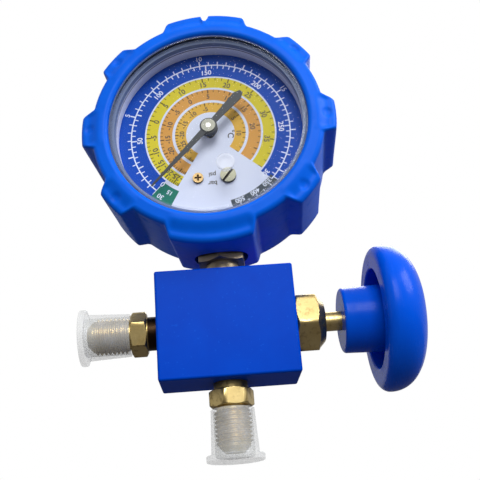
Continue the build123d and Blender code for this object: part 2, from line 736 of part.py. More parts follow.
def gauge_case():
    """Drawn steel cup with a rolled back edge, a shank hole below and a relief hole behind."""
    inner = CASE_R - CASE_WALL
    back = CASE_BACK_Y - CASE_WALL
    case = turned(
        Axis.Y,
        (0, CASE_BACK_Y),
        (CASE_R, CASE_BACK_Y, CASE_EDGE),
        (CASE_R, CASE_RIM_Y),
        (inner, CASE_RIM_Y),
        (inner, back, CASE_EDGE - CASE_WALL),
        (0, back),
    )
    case -= Pos(0, 0, -CASE_R) * Cylinder(SOCKET_SHANK_R, CASE_R / 2)
    case -= rod_y(RELIEF_R - 1.0, back, CASE_BACK_Y)
    for x in (-CASE_SCREW_X, CASE_SCREW_X):
        case -= rod_y(CASE_SCREW_R, back, CASE_BACK_Y, x, CASE_SCREW_Z)
    return case


def relief_plug():
    """Soft blow-out plug snapped into the back of the case."""
    back = CASE_BACK_Y - CASE_WALL
    return turned(
        Axis.Y,
        (0, back - 0.8),
        (RELIEF_R - 0.4, back - 0.8, 0.4),
        (RELIEF_R - 0.4, back),
        (RELIEF_R - 1.0, back),
        (RELIEF_R - 1.0, CASE_BACK_Y),
        (RELIEF_R, CASE_BACK_Y),
        (RELIEF_R, CASE_BACK_Y + 0.8, 0.4),
        (0, CASE_BACK_Y + 0.8),
    )


def case_screws():
    screws = []
    for x in (-CASE_SCREW_X, CASE_SCREW_X):
        head = rod_y(CASE_SCREW_HEAD_R, CASE_BACK_Y, CASE_BACK_Y + CASE_SCREW_HEAD_T, x, CASE_SCREW_Z)
        head = chamfer(head.edges().group_by(Axis.Y)[-1], 0.5)
        slot_y = CASE_BACK_Y + CASE_SCREW_HEAD_T
        head -= box_between(
            (x - CASE_SCREW_HEAD_R, slot_y - 0.6, CASE_SCREW_Z - 0.4),
            (x + CASE_SCREW_HEAD_R, slot_y, CASE_SCREW_Z + 0.4),
        )
        shank = rod_y(CASE_SCREW_R, CASE_BACK_Y - CASE_WALL - CASE_SCREW_L, CASE_BACK_Y, x, CASE_SCREW_Z)
        screws.append(head + shank)
    return Compound(children=screws)


def boot_lug(angle, half_w):
    """One rib of the boot: straight sides with sloping flanks, lower towards the back."""
    base_w = half_w + LUG_FLANK
    crest_w = half_w - LUG_FLANK / 3
    inner = BOOT_R - LUG_ROOT
    outer = LUG_R + LUG_ROOT
    end_y = LUG_BACK_Y + LUG_RUNOUT
    section = outline(
        (inner, -base_w),
        (BOOT_R - LUG_ROOT / 3, -base_w),
        (outer, -crest_w),
        (outer, crest_w),
        (BOOT_R - LUG_ROOT / 3, base_w),
        (inner, base_w),
    )
    envelope = turned(
        Axis.Y,
        (inner, BOOT_FRONT_Y),
        (LUG_R, BOOT_FRONT_Y, BOOT_EDGE),
        (LUG_BACK_R, LUG_BACK_Y, BOOT_EDGE),
        (BOOT_R - LUG_ROOT / 3, end_y),
        (inner, end_y),
    )
    bar = Pos(0, end_y, 0) * extrude(Plane.XZ * section, end_y - BOOT_FRONT_Y)
    return Rot(0, -angle, 0) * (bar & envelope)


def boot():
    """Rubber boot: sleeve over the case with a lip over the lens, eight ribs turned a little, and the socket's hole."""
    sleeve = turned(
        Axis.Y,
        (CASE_R, LENS_FLANGE_Y),
        (BOOT_LIP_R, LENS_FLANGE_Y),
        (BOOT_LIP_R, BOOT_FRONT_Y, 0.6),
        (BOOT_R, BOOT_FRONT_Y, BOOT_EDGE),
        (BOOT_R, BOOT_BACK_Y, 2 * BOOT_EDGE),
        (BOOT_BACK_R, BOOT_BACK_Y, 0.8),
        (BOOT_BACK_R, CASE_BACK_Y),
        (CASE_R, CASE_BACK_Y, CASE_EDGE),
    )
    ribs = [boot_lug(angle, LUG_HALF_W) for angle in LUG_ANGLES]
    ribs += [boot_lug(angle, WIDE_LUG_HALF_W) for angle in (90, -90)]
    body = sleeve
    for rib in ribs:
        body += rib
    body -= box_between(
        (-LUG_NOTCH_W / 2, BOOT_FRONT_Y, LUG_R - LUG_NOTCH_DEPTH),
        (LUG_NOTCH_W / 2, LUG_BACK_Y + LUG_RUNOUT, LUG_R + LUG_ROOT),
    )
    dimple_r = (BOOT_R + LUG_R) / 2 - DIMPLE_R
    for angle in LUG_ANGLES:
        x = dimple_r * cos(radians(angle))
        z = dimple_r * sin(radians(angle))
        body -= rod_y(DIMPLE_R, BOOT_FRONT_Y, BOOT_FRONT_Y + DIMPLE_DEPTH, x, z)
    body = Rot(0, -BOOT_TURN, 0) * body
    return body - Pos(0, 0, -CASE_R) * Cylinder(BOOT_NECK_R, CASE_R)


def lens_gasket():
    return tube_y(CASE_R, CASE_R - GASKET_W, LENS_BACK_Y, CASE_RIM_Y)


def lens():
    """Clear cap: flange on the gasket, raised eye through the boot lip, and a hole for the plug."""
    body = turned(
        Axis.Y,
        (0, LENS_FRONT_Y),
        (LENS_EYE_R, LENS_FRONT_Y, 0.5),
        (LENS_EYE_R, LENS_FLANGE_Y),
        (CASE_R, LENS_FLANGE_Y),
        (CASE_R, LENS_BACK_Y),
        (LENS_POCKET_R, LENS_BACK_Y),
        (LENS_POCKET_R, LENS_FRONT_Y + LENS_T),
        (0, LENS_FRONT_Y + LENS_T),
    )
    return body - rod_y(PLUG_R + PLUG_GAP, LENS_FRONT_Y, LENS_FRONT_Y + LENS_T, DIAL_SCREW_X, DIAL_SCREW_Z)


def lens_plug():
    """Push-in plug over the adjuster."""
    plug = turned(
        Axis.Y,
        (0, LENS_FRONT_Y - PLUG_HEAD_T),
        (PLUG_HEAD_R, LENS_FRONT_Y - PLUG_HEAD_T, 0.4),
        (PLUG_HEAD_R, LENS_FRONT_Y),
        (PLUG_R, LENS_FRONT_Y),
        (PLUG_R, LENS_FRONT_Y + LENS_T, 0.3),
        (0, LENS_FRONT_Y + LENS_T),
    )
    return Pos(DIAL_SCREW_X, 0, DIAL_SCREW_Z) * plug


def dial_ring():
    return tube_y(DIAL_RING_R, DIAL_VIEW_R, LENS_BACK_Y, DIAL_Y)


def dial_plate():
    plate = rod_y(DIAL_R, DIAL_Y, DIAL_Y + DIAL_T) - rod_y(DIAL_BORE_R, DIAL_Y, DIAL_Y + DIAL_T)
    plate -= rod_y(DIAL_SCREW_R, DIAL_Y, DIAL_Y + DIAL_T, -DIAL_SCREW_X, DIAL_SCREW_Z)
    return plate - rod_y(ADJUSTER_R + SLIDE_FIT, DIAL_Y, DIAL_Y + DIAL_T, DIAL_SCREW_X, DIAL_SCREW_Z)


def dial_posts():
    """Two spacers between the movement and the dial; one is bored for the adjuster."""
    posts = []
    for x, bore in ((-DIAL_SCREW_X, DIAL_SCREW_R), (DIAL_SCREW_X, ADJUSTER_R + SLIDE_FIT)):
        post = rod_y(DIAL_POST_R, DIAL_Y + DIAL_T, MOVEMENT_FRONT_Y, x, DIAL_SCREW_Z)
        posts.append(post - rod_y(bore, DIAL_Y + DIAL_T, MOVEMENT_FRONT_Y, x, DIAL_SCREW_Z))
    return Compound(children=posts)


def dial_screw():
    """Small cross-recessed screw that holds the dial to its post."""
    front = DIAL_Y - DIAL_SCREW_HEAD_T
    head = rod_y(DIAL_SCREW_HEAD_R, front, DIAL_Y)
    arm = DIAL_SCREW_HEAD_R - DIAL_CROSS_MARGIN
    for half_x, half_z in ((arm, DIAL_CROSS_W / 2), (DIAL_CROSS_W / 2, arm)):
        head -= box_between((-half_x, front, -half_z), (half_x, front + DIAL_CROSS_DEPTH, half_z))
    shank = rod_y(DIAL_SCREW_R, DIAL_Y, MOVEMENT_FRONT_Y + PLATE_T)
    return Pos(-DIAL_SCREW_X, 0, DIAL_SCREW_Z) * (head + shank)


def zero_adjuster():
    """Slotted screw that trims the pointer to zero."""
    front = DIAL_Y - SLIDE_FIT - ADJUSTER_HEAD_T
    head = rod_y(ADJUSTER_HEAD_R, front, DIAL_Y - SLIDE_FIT)
    head -= Rot(0, -ADJUSTER_SLOT_TURN, 0) * box_between(
        (-ADJUSTER_HEAD_R, front, -0.4),
        (ADJUSTER_HEAD_R, front + 0.6, 0.4),
    )
    shank = rod_y(ADJUSTER_R, DIAL_Y - SLIDE_FIT, ADJUSTER_END_Y)
    return Pos(DIAL_SCREW_X, 0, DIAL_SCREW_Z) * (head + shank)


def pointer():
    """Thin needle with a widening tail that ends in a blunt arrow, pressed on a round boss."""
    shoulder = -POINTER_TAIL_L + TAIL_HEAD_L
    needle = outline(
        (-POINTER_W / 2, 0),
        (-POINTER_TIP_W / 2, POINTER_TIP_L),
        (POINTER_TIP_W / 2, POINTER_TIP_L),
        (POINTER_W / 2, 0),
        (TAIL_HUB_W / 2, -BOSS_R),
        (TAIL_HEAD_W / 2, shoulder),
        (TAIL_POINT_W / 2, -POINTER_TAIL_L),
        (-TAIL_POINT_W / 2, -POINTER_TAIL_L),
        (-TAIL_HEAD_W / 2, shoulder),
        (-TAIL_HUB_W / 2, -BOSS_R),
    )
    blade = Pos(0, POINTER_Y + POINTER_T, 0) * extrude(Plane.XZ * needle, POINTER_T)
    boss = rod_y(BOSS_R, POINTER_Y, POINTER_Y + BOSS_L)
    body = blade + boss - rod_y(ARBOR_R - SLIDE_FIT, POINTER_Y, POINTER_Y + BOSS_L)
    return Rot(0, 90 - POINTER_REST - 360, 0) * body


def pointer_hub():
    """Bright cap over the boss, on the end of the arbor."""
    cap = rod_y(HUB_CAP_R, POINTER_Y - HUB_CAP_T, POINTER_Y)
    return cap - rod_y(ARBOR_R - SLIDE_FIT, POINTER_Y - HUB_CAP_T, POINTER_Y)


ON_BLOCK = {
    "manifold_block": manifold_block(),
    "left_port_fitting": LEFT_PORT * port_fitting(LEFT_STANDOFF, LEFT_HEX_TURN),
    "bottom_port_fitting": BOTTOM_PORT * port_fitting(BOTTOM_STANDOFF, BOTTOM_HEX_TURN),
    "left_cap": LEFT_PORT * thread_cap(LEFT_STANDOFF),
    "bottom_cap": BOTTOM_PORT * thread_cap(BOTTOM_STANDOFF),
    "seat_disc": seat_disc(),
    "valve_stem": valve_stem(),
    "packing_washer": packing_washer(),
    "stem_packing": stem_packing(),
    "gland_follower": gland_follower(),
    "packing_nut": packing_nut(),
    "handwheel": handwheel(),
    "handwheel_washer": handwheel_washer(),
    "handwheel_screw": handwheel_screw(),
}

IN_GAUGE = {
    "gauge_socket": gauge_socket(),
    "gauge_case": gauge_case(),
    "relief_plug": relief_plug(),
    "case_screws": case_screws(),
    "boot": boot(),
    "lens_gasket": lens_gasket(),
    "lens": lens(),
    "lens_plug": lens_plug(),
    "dial_ring": dial_ring(),
    "dial_plate": dial_plate(),
    "dial_posts": dial_posts(),
    "dial_screw": dial_screw(),
    "zero_adjuster": zero_adjuster(),
    "pointer": pointer(),
    "pointer_hub": pointer_hub(),
    "pinion_arbor": pinion_arbor(),
    "hairspring": hairspring(),
    "sector_gear": sector_gear(),
    "link": link(),
    "tube_tip": tube_tip(),
    "bourdon_tube": bourdon_tube(),
    "movement_front_plate": movement_front_plate(),
    "movement_back_plate": movement_back_plate(),
    "movement_pillars": movement_pillars(),
    "movement_screws": movement_screws(),
}

os.makedirs("parts", exist_ok=True)
TO_ORIGIN = Pos(0, -BLOCK_D / 2, 0)
for name, piece in ON_BLOCK.items():
    export_step(TO_ORIGIN * piece, f"parts/{name}.step")
for name, piece in IN_GAUGE.items():
    export_step(TO_ORIGIN * GAUGE * piece, f"parts/{name}.step")
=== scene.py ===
from math import atan2, cos, hypot, pi, radians, sin

import bmesh
import bpy
from mathutils import Matrix, Vector


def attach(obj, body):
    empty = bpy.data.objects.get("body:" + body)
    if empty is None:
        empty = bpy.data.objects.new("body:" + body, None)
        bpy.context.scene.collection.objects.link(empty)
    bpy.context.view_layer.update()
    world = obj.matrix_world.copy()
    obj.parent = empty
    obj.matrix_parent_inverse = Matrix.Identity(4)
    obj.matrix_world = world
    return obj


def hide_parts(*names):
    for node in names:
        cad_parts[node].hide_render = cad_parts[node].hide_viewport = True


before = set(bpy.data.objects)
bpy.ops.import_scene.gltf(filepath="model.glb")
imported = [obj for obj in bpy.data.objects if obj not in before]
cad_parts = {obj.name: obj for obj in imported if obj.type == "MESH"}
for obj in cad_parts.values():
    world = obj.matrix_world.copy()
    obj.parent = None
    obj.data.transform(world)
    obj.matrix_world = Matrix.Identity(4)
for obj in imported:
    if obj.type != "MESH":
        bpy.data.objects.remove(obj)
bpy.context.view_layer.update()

# ---------------------------------------------------------------- manifold block
# A sawn and milled aluminium bar, drilled on three sides and painted a deep blue.
# The paint is sprayed and baked, so it has a faint orange peel and a satin gloss.


def srgb(red, green, blue):
    """Shader colour from the eight bit numbers of a colour chart."""
    parts = [value / 255 for value in (red, green, blue)]
    return tuple(p / 12.92 if p <= 0.04045 else ((p + 0.055) / 1.055) ** 2.4 for p in parts) + (1.0,)


class Wire:
    """The output of one shader node; arithmetic on it adds Math nodes to its finish."""

    def __init__(self, finish, socket):
        self.finish = finish
        self.socket = socket

    def math(self, operation, *values):
        return self.finish.node("Math", {"operation": operation}, (self, *values))

    def flipped(self, operation, value):
        return self.finish.node("Math", {"operation": operation}, (value, self))

    def __add__(self, other):
        return self.math("ADD", other)

    def __radd__(self, other):
        return self.math("ADD", other)

    def __sub__(self, other):
        return self.math("SUBTRACT", other)

    def __rsub__(self, other):
        return self.flipped("SUBTRACT", other)

    def __mul__(self, other):
        return self.math("MULTIPLY", other)

    def __rmul__(self, other):
        return self.math("MULTIPLY", other)

    def __truediv__(self, other):
        return self.math("DIVIDE", other)

    def __pow__(self, other):
        return self.math("POWER", other)

    def above(self, limit):
        return self.math("GREATER_THAN", limit)

    def below(self, limit):
        return self.math("LESS_THAN", limit)

    def within(self, low, high):
        return self.above(low) * self.below(high)

    def either(self, other):
        return self.math("MAXIMUM", other)

    def ramp(self, low, high):
        """0 below low and 1 above high, smooth between them."""
        settings = {"interpolation_type": "SMOOTHSTEP"}
        return self.finish.node("MapRange", settings, {"Value": self, "From Min": low, "From Max": high})

    def parts(self):
        """The X, Y and Z of a vector."""
        split = self.finish.node("SeparateXYZ", None, (self,)).socket.node
        return [Wire(self.finish, socket) for socket in split.outputs]


class Finish:
    """A procedural finish on the Principled shader; node() adds any one shader node."""

    def __init__(self, name, **uniform):
        self.material = bpy.data.materials.new(name)
        self.material.use_nodes = True
        self.tree = self.material.node_tree
        self.surface = self.tree.nodes["Principled BSDF"]
        for socket, value in uniform.items():
            self.surface.inputs[socket.replace("_", " ")].default_value = value

    def node(self, kind, settings, inputs, out=0):
        made = self.tree.nodes.new("ShaderNode" + kind)
        for key, value in (settings or {}).items():
            setattr(made, key, value)
        pairs = inputs.items() if isinstance(inputs, dict) else enumerate(inputs)
        for key, value in pairs:
            self.feed(made.inputs[key], value)
        return Wire(self, made.outputs[out])

    def feed(self, socket, value):
        if isinstance(value, Wire):
            self.tree.links.new(value.socket, socket)
        else:
            socket.default_value = value

    def blend(self, factor, first, second):
        """A colour that goes from first to second as factor goes from 0 to 1."""
        settings = {"data_type": "RGBA"}
        return self.node("Mix", settings, {0: factor, 6: first, 7: second}, out=2)

    def spot(self, place=None, stretch=(1, 1, 1)):
        """Position on the piece in millimetres, measured in the frame that place describes."""
        here = self.node("TexCoord", None, (), out=3)
        if place is not None:
            inputs = {
                "Vector": here,
                "Location": place.to_translation(),
                "Rotation": place.to_euler(),
            }
            here = self.node("Mapping", {"vector_type": "TEXTURE"}, inputs)
        scale = [1000 * part for part in stretch]
        return self.node("VectorMath", {"operation": "MULTIPLY"}, (here, scale))

    def noise(self, spot, grain, detail=3.0):
        """Cloudy noise whose patches are about grain millimetres across, centred on 0.5."""
        inputs = {"Vector": spot, "Scale": 1 / grain, "Detail": detail, "Roughness": 0.55}
        return self.node("TexNoise", None, inputs)

    def bump(self, height, depth):
        """Relief on the surface: height of 1 stands depth millimetres proud."""
        inputs = {"Height": height, "Distance": depth / 1000, "Strength": 1.0}
        return self.node("Bump", None, inputs)

    def surfaces(self, **inputs):
        for socket, value in inputs.items():
            self.feed(self.surface.inputs[socket.replace("_", " ")], value)
        return self


def dress(finish, *names):
    """Gives the finish to nodes that keep their solid's shape."""
    for name in names:
        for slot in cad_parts[name].material_slots:
            slot.material = finish.material


paint = Finish("block_paint", Specular_IOR_Level=0.01, Coat_Roughness=0.2)
spot = paint.spot()
clouds = paint.noise(spot, 9.0)
peel = paint.noise(spot, 0.45, 2.0)
specks = paint.noise(spot, 1.1, 1.0).ramp(0.69, 0.74)
colour = paint.blend(clouds, srgb(0, 60, 182), srgb(0, 72, 200))
paint.surfaces(
    Base_Color=paint.blend(specks * 0.35, colour, srgb(30, 96, 214)),
    Roughness=0.30 + clouds * 0.14 + specks * 0.1,
    Coat_Weight=0.03 - specks * 0.02,
    Normal=paint.bump(peel, 0.012),
)
dress(paint, "manifold_block")

# ---------------------------------------------------------------- flare port fittings
# Two half unions turned from hexagon brass bar: a taper thread screwed into the block, a hexagon,
# an undercut and a quarter inch flare thread whose nose seals on the hose's cone.

BLOCK_MIDDLE_Y = -0.010
ROW = Matrix.Translation((0, BLOCK_MIDDLE_Y, 0)) @ Matrix.Scale(0.001, 4)
SHARP = radians(34)


def make_piece(name, mesh, place, finish, body):
    """Puts a finished mesh in its place, closes its shading, and lets it ride on a body."""
    bmesh.ops.transform(mesh, matrix=place, verts=mesh.verts)
    bmesh.ops.recalc_face_normals(mesh, faces=mesh.faces)
    for face in mesh.faces:
        face.smooth = True
    for edge in mesh.edges:
        edge.smooth = edge.calc_face_angle(0) < SHARP
    data = bpy.data.meshes.new(name)
    mesh.to_mesh(data)
    mesh.free()
    data.materials.append(finish.material)
    made = bpy.data.objects.new(name, data)
    bpy.context.scene.collection.objects.link(made)
    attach(made, body)
    return made


def draw_line(mesh, points, closed=False):
    """Edges through the points, as a profile to spin."""
    corners = [mesh.verts.new(point) for point in points]
    edges = [mesh.edges.new(pair) for pair in zip(corners, corners[1:])]
    if closed:
        edges.append(mesh.edges.new((corners[-1], corners[0])))
    return corners + edges


def spin_x(mesh, *points):
    """A turned ring about X from its (x, radius) profile."""
    profile = draw_line(mesh, [(x, radius, 0) for x, radius in points], closed=True)
    bmesh.ops.spin(mesh, geom=profile, axis=(1, 0, 0), angle=2 * pi, steps=64, use_merge=True)
    bmesh.ops.remove_doubles(mesh, verts=mesh.verts, dist=1e-5)


def close_inside(mesh, core):
    """Joins a sleeve's two open ends by a wall at the core radius about X."""
    rims = [edge for edge in mesh.edges if edge.is_boundary]
    grown = bmesh.ops.extrude_edge_only(mesh, edges=rims)["geom"]
    for part in grown:
        if isinstance(part, bmesh.types.BMVert):
            radius = hypot(part.co.y, part.co.z)
            part.co.y *= core / radius
            part.co.z *= core / radius
    bmesh.ops.bridge_loops(mesh, edges=[edge for edge in mesh.edges if edge.is_boundary])


def add_hexagon(mesh, flats, start, end, turn, core):
    """A hexagon collar about X, chamfered to 30 degrees at both ends, closed at its core radius."""
    apothem = flats / 2
    chamfer = 0.577
    slope = (apothem / cos(pi / 6) - apothem) * chamfer
    rows = [slope * part for part in (0, 0.2, 0.45, 0.7, 1)]
    depths = [start + row for row in rows] + [end - row for row in reversed(rows)]
    collar = bmesh.new()
    profile = draw_line(collar, [(depth, apothem, 0) for depth in depths])
    bmesh.ops.spin(collar, geom=profile, axis=(1, 0, 0), angle=2 * pi, steps=96, use_merge=True)
    bmesh.ops.remove_doubles(collar, verts=collar.verts, dist=1e-5)
    for vertex in collar.verts:
        angle = atan2(vertex.co.z, vertex.co.y)
        flat = (angle - radians(turn)) % (pi / 3) - pi / 6
        reach = max(min(vertex.co.x - start, end - vertex.co.x), 0)
        radius = min(apothem / cos(flat), apothem + reach / chamfer)
        vertex.co.y = radius * cos(angle)
        vertex.co.z = radius * sin(angle)
    close_inside(collar, core)
    data = bpy.data.meshes.new("hexagon")
    collar.to_mesh(data)
    collar.free()
    mesh.from_mesh(data)
    bpy.data.meshes.remove(data)


def thread_shell(mesh, start, end, major, minor, pitch):
    """A closed helical thread about X, tapered at both ends, round a buried inner wall."""
    tooth = ((0.0, minor), (0.14, minor), (0.44, major), (0.60, major), (0.90, minor))
    turns = int((end - start) / pitch) + 3
    rows = [
        (start + (turn - 1.5 + place) * pitch, radius)
        for turn in range(turns)
        for place, radius in tooth
    ]
    profile = draw_line(mesh, [(depth, radius, 0) for depth, radius in rows])
    steps = 64
    advance = (pitch / steps, 0, 0)
    bmesh.ops.spin(mesh, geom=profile, axis=(1, 0, 0), dvec=advance, angle=2 * pi, steps=steps)
    bmesh.ops.remove_doubles(mesh, verts=mesh.verts, dist=1e-4)
    for face, way in ((start, -1), (end, 1)):
        cut = mesh.verts[:] + mesh.edges[:] + mesh.faces[:]
        plane = {"plane_co": (face, 0, 0), "plane_no": (way, 0, 0)}
        bmesh.ops.bisect_plane(mesh, geom=cut, clear_outer=True, **plane)
    lead = major - minor
    for vertex in mesh.verts:
        radius = hypot(vertex.co.y, vertex.co.z)
        limit = minor + min(vertex.co.x - start, end - vertex.co.x, lead)
        if radius > limit:
            vertex.co.y *= limit / radius
            vertex.co.z *= limit / radius
    close_inside(mesh, minor - 0.6)


brass = Finish("turned_brass", Metallic=1.0)
spot = brass.spot()
stain = brass.noise(spot, 4.0)
grain = brass.noise(brass.spot(stretch=(1, 0.15, 0.15)), 0.12, 2.0)
tarnish = brass.noise(spot, 1.6, 4.0).ramp(0.5, 0.72)
x, y, z = spot.parts()
# Painted shade: the necks between the hexagons and the block are darkened to a deep brown, the left neck
# fully and the bottom neck at six tenths, standing in for the shade there.
left_neck_shade = x.ramp(-24.3, -23.7) * x.below(-20.0)
bottom_neck_shade = z.ramp(-19.1, -18.6) * z.below(-16.0)
painted_neck_shade = left_neck_shade + bottom_neck_shade * 0.6
colour = brass.blend(stain, srgb(192, 166, 104), srgb(226, 204, 144))
colour = brass.blend(tarnish * 0.5, colour, srgb(128, 102, 62))
brass.surfaces(
    Base_Color=brass.blend(painted_neck_shade, colour, srgb(44, 32, 22)),
    Roughness=0.24 + grain * 0.16 + tarnish * 0.16,
    Normal=brass.bump(grain, 0.010),
)


def port_fitting(name, place, standoff, hex_end, hex_turn):
    """A half union along X, whose hexagon runs from the standoff to hex_end."""
    bore, plug_r, undercut_r, thread_r, nose_r = 2.4, 5.15, 4.6, 5.5, 4.6
    flats, core_r, pitch = 12.0, 3.6, 1.27
    root_r = thread_r - 0.72
    thread_start = hex_end + 1.5
    thread_end = thread_start + 9.7
    nose_start = thread_end + 0.4
    nose_end = nose_start + 1.7
    mesh = bmesh.new()
    thread_shell(mesh, thread_start - 0.7, thread_end, thread_r, root_r, pitch)
    spin_x(
        mesh,
        (-8.0, bore),
        (-8.0, 4.9),
        (0, plug_r),
        (standoff + 0.1, plug_r),
        (hex_end - 0.1, undercut_r),
        (thread_start - 0.7, undercut_r),
        (thread_start - 0.6, root_r - 0.05),
        (thread_end, root_r - 0.05),
        (thread_end + 0.02, nose_r),
        (nose_start, nose_r),
        (nose_end - 0.1, 3.0),
        (nose_end, 2.85),
        (nose_end, bore + 0.15),
        (nose_end - 0.15, bore),
    )
    add_hexagon(mesh, flats, standoff, hex_end, hex_turn, core_r)
    return make_piece(name, mesh, ROW @ place, brass, "manifold")


BLOCK_WIDTH, BLOCK_HEIGHT = 42.0, 33.5
LEFT_PORT = Matrix.Translation((-BLOCK_WIDTH / 2, 0, 0)) @ Matrix.Rotation(pi, 4, "Z")
BOTTOM_PORT = Matrix.Translation((0, 0, -BLOCK_HEIGHT / 2)) @ Matrix.Rotation(pi / 2, 4, "Y")
left_port = port_fitting("left_flare_fitting", LEFT_PORT, 3.2, 8.0, 18)
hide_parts("left_port_fitting")
bottom_port = port_fitting("bottom_flare_fitting", BOTTOM_PORT, 2.2, 7.2, 20)
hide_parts("bottom_port_fitting")

# ---------------------------------------------------------------- thread caps
# Thin polythene caps, moulded milky clear, pushed over the flare threads to keep dirt out.
# The thread shows through the wall, and the flange is for a thumbnail.

cap = Finish("milky_polythene")
spot = cap.spot()
haze = cap.noise(spot, 3.0)
scuffs = cap.noise(cap.spot(stretch=(0.2, 1, 1)), 0.5, 3.0).ramp(0.55, 0.75)
cap.surfaces(
    Base_Color=cap.blend(haze, srgb(214, 216, 208), srgb(230, 234, 242)),
    Roughness=0.26 + haze * 0.16 + scuffs * 0.2,
    Alpha=0.22 + haze * 0.12 + scuffs * 0.1,
    Normal=cap.bump(haze + scuffs * 0.3, 0.05),
)
dress(cap, "left_cap", "bottom_cap")

# ---------------------------------------------------------------- valve, packing and nut
# A brass stem closes a soft disc on the seat; a washer, a packing ring and a follower seal it,
# and a hexagon nut turned from the same bar presses them down.

nickel = Finish("bright_steel", Metallic=1.0)
spot = nickel.spot()
brush = nickel.noise(nickel.spot(stretch=(0.2, 1, 1)), 0.15, 2.0)
dull = nickel.noise(spot, 2.0)
nickel.surfaces(
    Base_Color=nickel.blend(dull, srgb(176, 176, 172), srgb(206, 205, 200)),
    Roughness=0.22 + brush * 0.18 + dull * 0.1,
    Normal=nickel.bump(brush, 0.008),
)

seal = Finish("seal_rubber")
spot = seal.spot()
bloom = seal.noise(spot, 0.8)
seal.surfaces(
    Base_Color=seal.blend(bloom, srgb(22, 22, 24), srgb(46, 46, 48)),
    Roughness=0.6 + bloom * 0.25,
    Normal=seal.bump(bloom, 0.03),
)

ptfe = Finish("packing_ptfe")
spot = ptfe.spot()
weave = ptfe.noise(spot, 0.4)
ptfe.surfaces(
    Base_Color=ptfe.blend(weave, srgb(222, 220, 212), srgb(242, 241, 236)),
    Roughness=0.45 + weave * 0.2,
    Normal=ptfe.bump(weave, 0.02),
)
dress(ptfe, "seat_disc", "stem_packing")
dress(nickel, "packing_washer")
dress(brass, "valve_stem", "gland_follower")

NUT_FLATS, NUT_START, NUT_END, NUT_TURN = 17.0, 21.0, 27.9, 13
STEM_HOLE_R, NUT_THREAD_R = 3.05, 6.0
nut = bmesh.new()
add_hexagon(nut, NUT_FLATS, NUT_START, NUT_END, NUT_TURN, 6.1)
spin_x(
    nut,
    (17.6, STEM_HOLE_R),
    (17.6, NUT_THREAD_R - 0.1),
    (17.7, NUT_THREAD_R),
    (21.2, NUT_THREAD_R),
    (27.6, 6.2),
    (27.6, 8.1),
    (NUT_END, 8.2),
    (29.9, 6.1),
    (30.0, 5.9),
    (30.0, 3.9),
    (29.9, 3.8),
    (29.2, STEM_HOLE_R),
)
nut_piece = make_piece("hexagon_packing_nut", nut, ROW, brass, "manifold")
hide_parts("packing_nut")

# ---------------------------------------------------------------- handwheel
# A mushroom knob moulded in glossy blue plastic, hollow behind the rim to keep its wall even,
# pushed on the stem's square and held by a screw and a washer in a pocket at its front.

knob = Finish("wheel_plastic", Specular_IOR_Level=0.09, Coat_Roughness=0.08)
spot = knob.spot()
flow = knob.noise(spot, 14.0)
skin = knob.noise(spot, 0.35, 2.0)
smears = knob.noise(knob.spot(stretch=(1, 0.35, 0.35)), 2.2, 4.0).ramp(0.5, 0.78)
knob.surfaces(
    Base_Color=knob.blend(flow, srgb(0, 74, 206), srgb(0, 90, 228)),
    Roughness=0.20 + smears * 0.16 + skin * 0.06,
    Normal=knob.bump(skin * 0.5 + smears * 0.5, 0.012),
)
dress(knob, "handwheel")
dress(nickel, "handwheel_washer", "handwheel_screw")

# ---------------------------------------------------------------- gauge socket, case and its screws
# The socket is turned and milled brass; its foot stands inside a deep drawn steel cup, painted
# black, held by two screws from behind beside a soft blow-out plug.

GAUGE_CENTRE_Z, GAUGE_TURN = 0.0624, radians(-5.4)
AT_GAUGE = Matrix.Translation((0, BLOCK_MIDDLE_Y, GAUGE_CENTRE_Z)) @ Matrix.Rotation(GAUGE_TURN, 4, "Z")
IN_GAUGE = AT_GAUGE @ Matrix.Scale(0.001, 4)

socket_brass = Finish("socket_brass", Metallic=1.0)
spot = socket_brass.spot(AT_GAUGE)
turning = socket_brass.noise(socket_brass.spot(AT_GAUGE, (0.2, 0.2, 1)), 0.14, 2.0)
film = socket_brass.noise(spot, 2.4)
socket_brass.surfaces(
    Base_Color=socket_brass.blend(film, srgb(142, 128, 104), srgb(182, 168, 140)),
    Roughness=0.30 + turning * 0.16 + film * 0.1,
    Normal=socket_brass.bump(turning, 0.010),
)
dress(socket_brass, "gauge_socket")

case_paint = Finish("case_black", IOR=1.5)
spot = case_paint.spot(AT_GAUGE)
wrinkle = case_paint.noise(spot, 0.5, 3.0)
wear = case_paint.noise(spot, 3.0, 4.0)
case_paint.surfaces(
    Base_Color=case_paint.blend(wear, srgb(20, 21, 23), srgb(44, 45, 48)),
    Roughness=0.38 + wear * 0.2,
    Normal=case_paint.bump(wrinkle, 0.03),
)
dress(case_paint, "gauge_case")
dress(seal, "relief_plug")
dress(nickel, "case_screws")

# ---------------------------------------------------------------- boot
# A thick blue rubber boot, moulded in one piece and stretched over the case. Its lip holds the
# lens down, and eight ribs take the knocks; the top rib has a notch.

rubber = Finish("boot_rubber", Specular_IOR_Level=0.09)
spot = rubber.spot(AT_GAUGE)
mottle = rubber.noise(spot, 11.0)
pores = rubber.noise(spot, 0.3, 2.0)
rubbed = rubber.noise(spot, 2.4, 4.0).ramp(0.52, 0.8)
rubber.surfaces(
    Base_Color=rubber.blend(mottle, srgb(0, 88, 214), srgb(0, 106, 240)),
    Roughness=0.36 + rubbed * 0.2 + pores * 0.08,
    Normal=rubber.bump(pores * 0.6 + rubbed * 0.4, 0.02),
)


def arc(centre, radius, first, last, steps):
    """Points on a quarter round in a profile, by angle in degrees."""
    turns = [radians(first + (last - first) * i / steps) for i in range(steps + 1)]
    return [(centre[0] + radius * cos(turn), centre[1] + radius * sin(turn)) for turn in turns]


def smooth(value, low, high):
    """0 below low and 1 above high, with an even rise between them."""
    part = min(max((value - low) / (high - low), 0), 1)
    return part * part * (3 - 2 * part)


